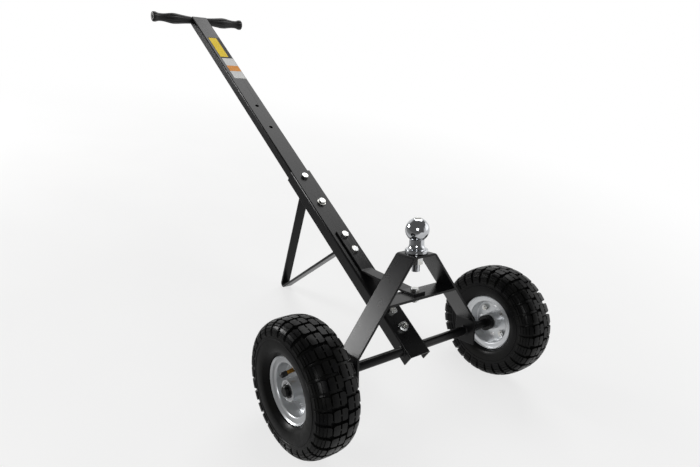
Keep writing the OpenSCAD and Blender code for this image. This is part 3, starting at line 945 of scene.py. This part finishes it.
@dataclass
class Weld:
    """A rippled weld bead, coated with the frame, in millimetres."""

    name: str
    radius: float = 2.6
    ripple: float = 0.35
    ripple_length: float = 3.2
    step: float = 1.2
    steps: int = 10
    least_rows: int = 8
    # The bead is flatter than round, and its open ends grow from a share of its radius
    flat: float = 0.7
    end_share: float = 0.35
    end_growth: float = 0.3

    def shares(self, length: float, closed: bool) -> list[float]:
        """Where the bead has rows.

        Args:
            length: its length in metres.
            closed: whether it runs round in a ring.

        Returns:
            The share of the length at each row.
        """
        rows = max(self.least_rows, int(length / (self.step * MM)))
        return [k / rows for k in range(rows if closed else rows + 1)]

    def build(
        self, spots: Sequence[tuple[Vector, Vector]], closed: bool, finishes: Finishes
    ) -> Piece:
        """Builds the bead.

        Args:
            spots: the bead's middle and outward direction at each row.
            closed: whether it runs round in a ring.
            finishes: the dolly's materials.

        Returns:
            The bead.
        """
        count = len(spots)
        points = []
        for i, (middle, outward) in enumerate(spots):
            after = spots[(i + 1) % count][0] if closed or i + 1 < count else middle
            before = spots[i - 1][0] if closed or i else middle
            side = (after - before).normalized().cross(outward).normalized()
            wave = math.cos(FULL_TURN * i * self.step / self.ripple_length)
            taper = min(1.0, self.end_share + min(i, count - 1 - i) * self.end_growth)
            r = self.radius * MM * (1 + self.ripple / self.radius * wave) * (1 if closed else taper)
            for k in range(self.steps):
                a = FULL_TURN * k / self.steps
                out = outward * r * math.cos(a) * self.flat
                points.append(middle + out + side * r * math.sin(a))
        faces = wrapped_faces(count, self.steps, closed)
        if not closed:
            faces += [tuple(range(self.steps))[::-1]]
            faces += [tuple(range((count - 1) * self.steps, count * self.steps))]
        return new_piece(self.name, points, faces, finishes.powder, "frame")


@dataclass
class Welds:
    """All weld beads, in millimetres: round the axle, and from the brace to the legs."""

    layout: Layout
    finishes: Finishes
    leg_t: float = 5.0
    # A ring's middle lies this far off the axle and off the face
    ring_off_axle: float = 0.4
    ring_off_face: float = 0.6
    # A brace bead lies this far inside the brace's end, under it, and inside its two edges
    brace_in: float = 1.0
    brace_under: float = 0.4
    brace_inset: float = 4.0
    brace_slant: float = 0.6
    underside: float = 0.5

    def ring(self, name: str, x: float, towards: float) -> Piece:
        """A bead round the axle against a face across X.

        Args:
            name: the bead's name.
            x: where the face is, in metres.
            towards: which way the bead lies from the face, 1 or -1.

        Returns:
            The bead.
        """
        low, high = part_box("axle")
        radius = (high.z - low.z) / 2
        hub = self.layout.chassis
        weld = Weld(name)
        spots = []
        for share in weld.shares(FULL_TURN * radius, True):
            a = FULL_TURN * share
            out = hub.y * math.cos(a) + hub.z * math.sin(a)
            along = hub.x * (x + towards * self.ring_off_face * MM)
            middle = hub.origin + out * (radius + self.ring_off_axle * MM) + along
            spots.append((middle, (out + hub.x * towards).normalized()))
        return weld.build(spots, True, self.finishes)

    def brace_bead(self, side: Side) -> Piece:
        """The bead under one end of the cross brace, along the leg.

        Args:
            side: the end's side.

        Returns:
            The bead.
        """
        brace = bpy.data.objects["cross_brace"]
        chassis = self.layout.chassis
        corners = [chassis.local(v.co) for v in brace.data.vertices]
        low_z = min(c.z for c in corners)
        under = [c for c in corners if c.z < low_z + self.underside * MM]
        x = max(c.x * side.sign for c in under) * side.sign - side.sign * self.brace_in * MM
        z = low_z - self.brace_under * MM
        # Rounded to a hundredth of a millimetre, so that an edge's points count once
        edges = sorted({round(c.y, 5) for c in under})
        start = chassis.at(x, edges[0] + self.brace_inset * MM, z)
        end = chassis.at(x, edges[-1] - self.brace_inset * MM, z)
        outward = (chassis.z * -1 - chassis.x * side.sign * self.brace_slant).normalized()
        weld = Weld(f"weld_brace_{side}")
        shares = weld.shares((end - start).length, False)
        spots = [(start.lerp(end, share), outward) for share in shares]
        return weld.build(spots, False, self.finishes)

    def build(self) -> list[Piece]:
        """Builds every bead.

        Returns:
            The beads.
        """
        beads = []
        frame_low, frame_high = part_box("a_frame")
        column_low, column_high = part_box("column_channel")
        for side, edge, face in ((Side.LEFT, frame_low.x, column_low.x),
                                 (Side.RIGHT, frame_high.x, column_high.x)):
            inside = edge - side.sign * self.leg_t * MM
            beads.append(self.ring(f"weld_frame_{side}_outer", edge, side.sign))
            beads.append(self.ring(f"weld_frame_{side}_inner", inside, -side.sign))
            beads.append(self.ring(f"weld_column_{side}", face, side.sign))
            beads.append(self.brace_bead(side))
        return beads


@dataclass
class Threads:
    """Thread crests on the free ends of bolts, turned as rings, in millimetres."""

    pitch: float = 1.5
    depth: float = 0.55
    steps: int = 40
    # Shares of the depth inside and outside the shank's own radius
    root: float = 0.2
    crest: float = 0.6
    # The bevelled end: inset from the shank's radius, and height over its tip
    end: tuple[tuple[float, float], ...] = ((0.2, -0.3), (1.2, 0.25))
    core_r: float = 0.1

    def build(
        self, name: str, place: Place, radius: float, length: float, finish: Material
    ) -> Piece:
        """Builds a threaded sleeve round a shank end.

        Args:
            name: the piece's name.
            place: the shank's tip, with z pointing out of it.
            radius: the shank's radius in metres.
            length: how far back the thread runs, in metres.
            finish: its material.

        Returns:
            The sleeve.
        """
        count = max(1, round(length / (self.pitch * MM)))
        profile = []
        for k in range(count):
            z = -length * (k + 1) / count
            profile.append((radius - self.depth * MM * self.root, z))
            profile.append((radius + self.depth * MM * self.crest, z + length / count / 2))
        profile += [(radius - inset * MM, height * MM) for inset, height in self.end]
        profile += [(self.core_r * MM, profile[-1][1]), (self.core_r * MM, -length)]
        return lathe(name, place, profile, self.steps, finish, "frame")


def islands(node: str, joined_mm: float = 0.01) -> list[list[Vector]]:
    """The points of each separate solid of a CAD node.

    Args:
        node: the CAD node's name.
        joined_mm: how close two points are when they count as one.

    Returns:
        One list of row points for each solid, in the same order each time.
    """
    mesh = bmesh.new()
    mesh.from_mesh(bpy.data.objects[node].data)
    bmesh.ops.remove_doubles(mesh, verts=mesh.verts, dist=joined_mm * MM)
    seen = set()
    result = []
    for first in mesh.verts:
        if first in seen:
            continue
        seen.add(first)
        stack, group = [first], []
        while stack:
            vertex = stack.pop()
            group.append(vertex.co.copy())
            for edge in vertex.link_edges:
                other = edge.other_vert(vertex)
                if other not in seen:
                    seen.add(other)
                    stack.append(other)
        result.append(group)
    mesh.free()
    return result


@dataclass
class BoltEnds:
    """Threads on every bolt tip that stands out of its nut, in millimetres."""

    layout: Layout
    finishes: Finishes
    shank_r: float = 5.0
    tip: float = 3.2
    end_face: float = 0.2
    ball_shank_r: float = 8.0
    ball_least: float = 8.0
    bolt_threads: Threads = field(default_factory=Threads)
    ball_threads: Threads = field(default_factory=lambda: Threads(pitch=2.0, depth=0.7, steps=56))

    def tip_place(self, points: list[Vector], axis: Vector) -> Place:
        """The tip of a bolt: the end of its solid that is narrow across the axis.

        Args:
            points: the bolt's points.
            axis: direction of its shank, one way or the other.

        Returns:
            A place in the tip's middle, with z pointing out of it.
        """
        reach = [p.dot(axis) for p in points]
        ends = []
        for sign, end in ((1, max(reach)), (-1, min(reach))):
            near = [p for p, r in zip(points, reach) if abs(r - end) < self.end_face * MM]
            middle = sum(near, Vector()) / len(near)
            width = max((p - middle).length for p in near)
            ends.append((width, middle + axis * (end - middle.dot(axis)), axis * sign))
        _, spot, outwards = min(ends, key=lambda found: found[0])
        return place_on_axis(spot, outwards, ACROSS)

    def build(self) -> list[Piece]:
        """Builds the threads of the column's and the brace's bolts, and of the ball's shank.

        Returns:
            The threaded pieces.
        """
        chassis, zinc = self.layout.chassis, self.finishes.zinc
        through = self.layout.column.y
        jobs = [(node, through) for node in ("handle_bolts", "strut_bolts", "plate_bolts")]
        jobs.append(("brace_bolt", chassis.z))
        pieces = []
        for node, axis in jobs:
            for k, points in enumerate(islands(node)):
                pieces.append(self.bolt_threads.build(
                    f"{node}_thread_{k}", self.tip_place(points, axis), self.shank_r * MM,
                    self.tip * MM, zinc))
        place = self.tip_place(islands("hitch_ball")[0], chassis.z)
        under_nut = chassis.local(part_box("ball_nut")[0]).z
        length = max(self.ball_least * MM, under_nut - chassis.local(place.origin).z)
        pieces.append(self.ball_threads.build(
            "hitch_ball_thread", place, self.ball_shank_r * MM, length, zinc))
        return pieces


@dataclass
class BearingShields:
    """Pressed steel shields in the open faces of the wheel bearings, in millimetres."""

    # Radius and height over the bearing's face: a raised lip, and a groove before the outer ring
    section: tuple[tuple[float, float], ...] = (
        (13.5, -1.0), (13.5, 0.1), (14.0, 0.3), (16.0, 0.25), (16.6, 0.0), (17.2, -0.2),
        (17.2, -1.0),
    )
    steps: int = 72

    def build(self, layout: Layout, finishes: Finishes) -> list[Piece]:
        """Builds a shield for each face of each hub.

        Args:
            layout: the frame's places.
            finishes: the dolly's materials.

        Returns:
            The shields.
        """
        shields = []
        profile = [(r * MM, z * MM) for r, z in self.section]
        for side in Side:
            low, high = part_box(side + "_bearings")
            left, right = (low.x, -1), (high.x, 1)
            outer, inner = (left, right) if side is Side.LEFT else (right, left)
            for where, (x, out) in (("outer", outer), ("inner", inner)):
                origin = Vector((x, layout.hubs[side].y, layout.hubs[side].z))
                place = place_on_axis(origin, ACROSS * out, UPRIGHT)
                shields.append(lathe(
                    f"{side}_{where}_shield", place, profile, self.steps, finishes.bearing,
                    side + "_wheel"))
        return shields


@dataclass
class SteelNodes:
    """The CAD nodes that stay, with their finish and softened edges, in millimetres."""

    finish_of: ClassVar[dict[str, tuple[str, ...]]] = {
        "powder": ("axle", "axle_collars", "axle_end_rings", "a_frame", "cross_brace",
                   "column_channel", "handle_tube", "handlebar", "column_strut", "kickstand",
                   "backing_plate"),
        "zinc": ("ball_lock_washer", "ball_nut", "handle_bolts", "strut_bolts", "brace_bolt",
                 "plate_bolts", "frame_nuts", "flat_washers"),
        "chrome": ("hitch_ball",),
        "bearing": ("bearing_inner_races",),
        "grip": ("grip_left", "grip_right"),
    }
    # The nodes of each wheel, whose names start with its side
    wheel_finish_of: ClassVar[dict[str, tuple[str, ...]]] = {
        "zinc": ("rim_bolts", "rim_nuts"),
        "rim": ("rim_outer", "rim_inner", "hub_tube"),
        "bearing": ("bearings",),
        "butyl": ("inner_tube",),
        "brass": ("valve_stem",),
        "cap": ("valve_cap",),
        "tyre": ("tyre",),
    }
    edge_mm: ClassVar[dict[str, float]] = {
        "a_frame": 0.8, "cross_brace": 0.7, "column_channel": 0.4, "handle_tube": 0.3,
        "column_strut": 0.8, "kickstand": 0.8, "backing_plate": 0.6, "axle": 0.4,
        "ball_nut": 0.4, "frame_nuts": 0.3, "flat_washers": 0.2, "ball_lock_washer": 0.3,
    }
    joined: float = 0.005
    edge_steps: int = 2
    edge_deg: float = 35.0

    def dress(self, nodes: dict[str, Piece], finishes: Finishes) -> None:
        """Gives each CAD node its material, and a bevel where real edges are broken.

        Args:
            nodes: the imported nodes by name.
            finishes: the dolly's materials.
        """
        jobs = [(name, finish) for finish, names in self.finish_of.items() for name in names]
        for side in Side:
            for finish, names in self.wheel_finish_of.items():
                jobs += [(f"{side}_{name}", finish) for name in names]
        for name, finish in jobs:
            nodes[name].data.materials.clear()
            nodes[name].data.materials.append(getattr(finishes, finish))
            LOG.info("%s dressed as %s", name, finish)
        for name, width in self.edge_mm.items():
            weld = nodes[name].modifiers.new("joined", "WELD")
            weld.merge_threshold = self.joined * MM
            bevel = nodes[name].modifiers.new("broken_edges", "BEVEL")
            bevel.width = width * MM
            bevel.segments = self.edge_steps
            bevel.limit_method = "ANGLE"
            bevel.angle_limit = math.radians(self.edge_deg)
            bevel.harden_normals = True


@dataclass
class PhotoCamera:
    """The photograph's camera, in the upright frame of the chassis, in millimetres."""

    position: tuple[float, float, float] = (-722.13, -715.05, 460.33)
    yaw: float = -0.617
    pitch: float = 0.292
    roll: float = -0.008
    focal_px: float = 520.85
    centre_px: tuple[float, float] = (327.16, 275.99)
    sensor_mm: float = 36.0
    nearest: float = 10.0

    def build(self, chassis: Place) -> bpy.types.Object:
        """Sets the scene's camera, turned with the chassis.

        Args:
            chassis: the place of the axle's middle, with the frame's upright axes.

        Returns:
            The camera.
        """
        back = Vector((math.sin(self.yaw) * math.cos(self.pitch),
                       -math.cos(self.yaw) * math.cos(self.pitch), math.sin(self.pitch)))
        right = Vector((math.cos(self.yaw), math.sin(self.yaw), 0))
        up = back.cross(right)
        turned = right * math.cos(self.roll) + up * math.sin(self.roll)
        axes = [turned, back.cross(turned), back]
        row_axes = [chassis.x * a.x + chassis.y * a.y + chassis.z * a.z for a in axes]
        data = bpy.data.cameras.new("photo_camera")
        data.sensor_width = self.sensor_mm
        data.lens = self.focal_px / PHOTO_WIDTH * self.sensor_mm
        data.shift_x = (PHOTO_WIDTH / 2 - self.centre_px[0]) / PHOTO_WIDTH
        data.shift_y = (self.centre_px[1] - PHOTO_HEIGHT / 2) / PHOTO_WIDTH
        data.clip_start = self.nearest * MM
        camera = add_object("photo_camera", data)
        matrix = Matrix(row_axes).transposed().to_4x4()
        matrix.translation = chassis.at(*(c * MM for c in self.position))
        camera.matrix_world = matrix
        bpy.context.scene.camera = camera
        return camera


@dataclass
class SoftBox:
    """A soft lamp aimed at the dolly, in metres."""

    name: str
    spot: tuple[float, float, float]
    size: tuple[float, float]
    watts: float

    def build(self, target: Vector) -> bpy.types.Object:
        """Hangs the lamp and aims it.

        Args:
            target: the row point it looks at.

        Returns:
            The lamp.
        """
        data = bpy.data.lights.new(self.name, "AREA")
        data.shape = "RECTANGLE"
        data.size, data.size_y = self.size
        data.energy = self.watts
        lamp = add_object(self.name, data)
        lamp.location = self.spot
        lamp.rotation_euler = (target - Vector(self.spot)).to_track_quat("-Z", "Y").to_euler()
        return lamp


@dataclass
class Studio:
    """White paper floor that runs on into the surroundings, and soft lamps, in metres.

    Mirrors and glass see the same paper and surroundings as the camera. As in a studio that is
    dark round the photographer, what they mirror dims in front of the dolly and to its left.
    """

    reach: float = 30.0
    target: tuple[float, float, float] = (0.0, -0.2, 0.25)
    lamps: tuple[SoftBox, ...] = (
        SoftBox("overhead", (1.2, 1.05, 2.4), (2.0, 1.8), 35.0),
        SoftBox("low_left", (-1.64, 2.23, 0.7), (0.8, 0.87), 52.0),
        SoftBox("front_left", (-1.52, -1.83, 1.3), (0.6, 0.6), 14.0),
        SoftBox("front_right", (2.2, -1.3, 1.3), (2.0, 1.6), 10.0),
    )
    # The way to the dim side, and how far along it the dimming starts and ends
    floor_side: tuple[float, float, float] = (-1.0, 0.15, 0.0)
    floor_dims: tuple[float, float] = (0.08, 0.5)
    world_side: tuple[float, float, float] = (-0.95, -0.3, 0.0)
    world_dims: tuple[float, float] = (-0.25, 0.1)
    # Heights of the direction between which the surroundings darken
    overhead: tuple[float, float] = (0.3, 0.7)
    world_light: float = 0.14
    dim_seen: float = 0.14
    pale_seen: float = 1.0
    # Share of the paper's own level over its lit and shadowed face, near the dolly and far away
    near_share: float = 0.7
    far_share: float = 1.0
    share_ends: tuple[float, float] = (0.4, 2.6)
    # Soft clouds in the sheet's white, and the octaves of their noise
    paper_tones: tuple[str, str] = ("#efefee", "#eaeae9")
    cloud_mm: float = 300.0
    cloud_detail: float = 2.0
    smooth: ClassVar[dict[str, str]] = {"interpolation_type": "SMOOTHSTEP"}

    def build(self) -> None:
        """Builds the floor, the world and the lamps."""
        self.floor()
        self.world()
        for lamp in self.lamps:
            lamp.build(Vector(self.target))

    def floor(self) -> bpy.types.Object:
        """A paper floor that runs to the horizon.

        Returns:
            The floor.
        """
        corners = [(x * self.reach, y * self.reach, 0.0)
                   for x, y in ((-1, -1), (1, -1), (1, 1), (-1, 1))]
        mesh = bpy.data.meshes.new("paper_floor")
        mesh.from_pydata(corners, [], [(0, 1, 2, 3)])
        mesh.materials.append(self.paper())
        floor = add_object("paper_floor", mesh)
        return floor

    def dimmed(
        self, tree: Tree, where: Socket, side: tuple[float, float, float],
        ends: tuple[float, float],
    ) -> Socket:
        """Mirrored brightness, which dims towards one side.

        Args:
            tree: the node tree that takes the nodes.
            where: a place or a direction.
            side: direction of the dim side.
            ends: how far towards the dim side the dimming starts and ends.

        Returns:
            The brightness.
        """
        along = add_node(tree, "ShaderNodeVectorMath", settings={"operation": "DOT_PRODUCT"},
                         sockets={0: where, 1: side})
        return add_node(tree, "ShaderNodeMapRange", settings=self.smooth, sockets={
            "Value": along.outputs["Value"], "From Min": ends[0], "From Max": ends[1],
            "To Min": self.pale_seen, "To Max": self.dim_seen}).outputs["Result"]

    @staticmethod
    def sight(tree: Tree) -> Socket:
        """Tells the rays that show the surroundings: camera, mirror and glass rays.

        Args:
            tree: the node tree that takes the nodes.

        Returns:
            One for such a ray, zero for a ray that carries light.
        """
        path = add_node(tree, "ShaderNodeLightPath")
        total = path.outputs["Is Camera Ray"]
        for ray in ("Is Glossy Ray", "Is Transmission Ray"):
            total = add_node(tree, "ShaderNodeMath", settings={"operation": "MAXIMUM"},
                             sockets={0: total, 1: path.outputs[ray]}).outputs[0]
        return total

    def pale_to_camera(self, tree: Tree, level: Socket) -> Socket:
        """Keeps what the camera itself sees pale.

        Args:
            tree: the node tree that takes the nodes.
            level: the brightness for all other rays.

        Returns:
            The brightness for every ray.
        """
        path = add_node(tree, "ShaderNodeLightPath")
        return add_node(tree, "ShaderNodeMix", settings={"data_type": "FLOAT"}, sockets={
            0: path.outputs["Is Camera Ray"], 2: level, 3: self.pale_seen}).outputs[0]

    def paper(self) -> Material:
        """Matt white paper, seen nearly at its own level, with the shadow kept near the dolly.

        Returns:
            The material.
        """
        material = bpy.data.materials.new("matt_paper")
        tree = empty_nodes(material)
        coords = add_node(tree, "ShaderNodeTexCoord").outputs["Object"]
        white = patches(tree, coords, self.cloud_mm, self.cloud_detail, self.paper_tones)
        paper = add_node(tree, "ShaderNodeBsdfDiffuse", sockets={"Color": white})
        level = self.dimmed(tree, coords, self.floor_side, self.floor_dims)
        glow = add_node(tree, "ShaderNodeEmission", sockets={
            "Color": (1, 1, 1, 1), "Strength": self.pale_to_camera(tree, level)})
        away = add_node(tree, "ShaderNodeVectorMath", settings={"operation": "LENGTH"},
                        sockets={0: coords})
        near, far = self.share_ends
        share = add_node(tree, "ShaderNodeMapRange", settings=self.smooth, sockets={
            "Value": away.outputs["Value"], "From Min": near, "From Max": far,
            "To Min": self.near_share, "To Max": self.far_share})
        shown = add_node(tree, "ShaderNodeMath", settings={"operation": "MULTIPLY"},
                         sockets={0: self.sight(tree), 1: share.outputs["Result"]})
        both = add_node(tree, "ShaderNodeMixShader",
                        sockets={0: shown.outputs[0], 1: paper.outputs[0], 2: glow.outputs[0]})
        add_node(tree, "ShaderNodeOutputMaterial", sockets={"Surface": both.outputs[0]})
        return material

    def world(self) -> None:
        """Surroundings that go on from the floor, dark overhead, and give little light."""
        world = bpy.data.worlds.new("studio_world")
        bpy.context.scene.world = world
        tree = empty_nodes(world)
        way = add_node(tree, "ShaderNodeTexCoord").outputs["Generated"]
        height = add_node(tree, "ShaderNodeSeparateXYZ", sockets={0: way})
        start, end = self.overhead
        low = add_node(tree, "ShaderNodeMapRange", settings=self.smooth, sockets={
            "Value": height.outputs["Z"], "From Min": start, "From Max": end,
            "To Min": 1.0, "To Max": 0.0})
        level = self.dimmed(tree, way, self.world_side, self.world_dims)
        above = add_node(tree, "ShaderNodeMath", settings={"operation": "SUBTRACT"},
                         sockets={0: level, 1: self.dim_seen})
        faded = add_node(tree, "ShaderNodeMath", settings={"operation": "MULTIPLY_ADD"},
                         sockets={0: above.outputs[0], 1: low.outputs["Result"],
                                  2: self.dim_seen})
        shown = add_node(tree, "ShaderNodeMix", settings={"data_type": "FLOAT"}, sockets={
            0: self.sight(tree), 2: self.world_light,
            3: self.pale_to_camera(tree, faded.outputs[0])})
        plain = add_node(tree, "ShaderNodeBackground",
                         sockets={"Color": (1, 1, 1, 1), "Strength": shown.outputs[0]})
        add_node(tree, "ShaderNodeOutputWorld", sockets={"Surface": plain.outputs[0]})


# Side of each tyre, the turn of its tread in pitches, and its shift along the axle in millimetres
TYRES = (Tyre(Side.LEFT, 0.06, -6.5), Tyre(Side.RIGHT, -0.086))
PANELS = (
    Panel("dark_panel", Tone.BLACK, -16.0, 22.0, 114.0, 222.0),
    Panel("yellow_panel", Tone.YELLOW, -15.0, 10.5, 117.0, 217.0, lift=0.24),
    Panel("white_panel", Tone.WHITE, -14.0, 22.0, 223.5, 323.0),
    Panel("orange_panel", Tone.ORANGE, -14.0, 22.0, 261.0, 288.0, lift=0.24, corner=0.4),
)


def main() -> None:
    """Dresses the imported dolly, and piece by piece."""
    logging.basicConfig(level=logging.INFO, format="%(name)s: %(message)s")
    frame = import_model()
    layout = Layout(frame)
    PhotoCamera().build(layout.chassis)
    Studio().build()
    bpy.context.scene.view_settings.view_transform = "Standard"
    finishes = Finishes(layout.chassis.origin)
    SteelNodes().dress(frame["nodes"], finishes)
    for tyre in TYRES:
        for part in (tyre, Grip(tyre.side)):
            piece = part.build(layout, finishes)
            LOG.info("%s has %d points", piece.name, len(piece.data.vertices))
    for panel in PANELS:
        LOG.info("panel %s", panel.build(layout, finishes).name)
    for bead in Welds(layout, finishes).build():
        LOG.info("bead %s", bead.name)
    for thread in BoltEnds(layout, finishes).build():
        LOG.info("thread %s", thread.name)
    for shield in BearingShields().build(layout, finishes):
        LOG.info("shield %s", shield.name)


if __name__ == "__main__":
    main()
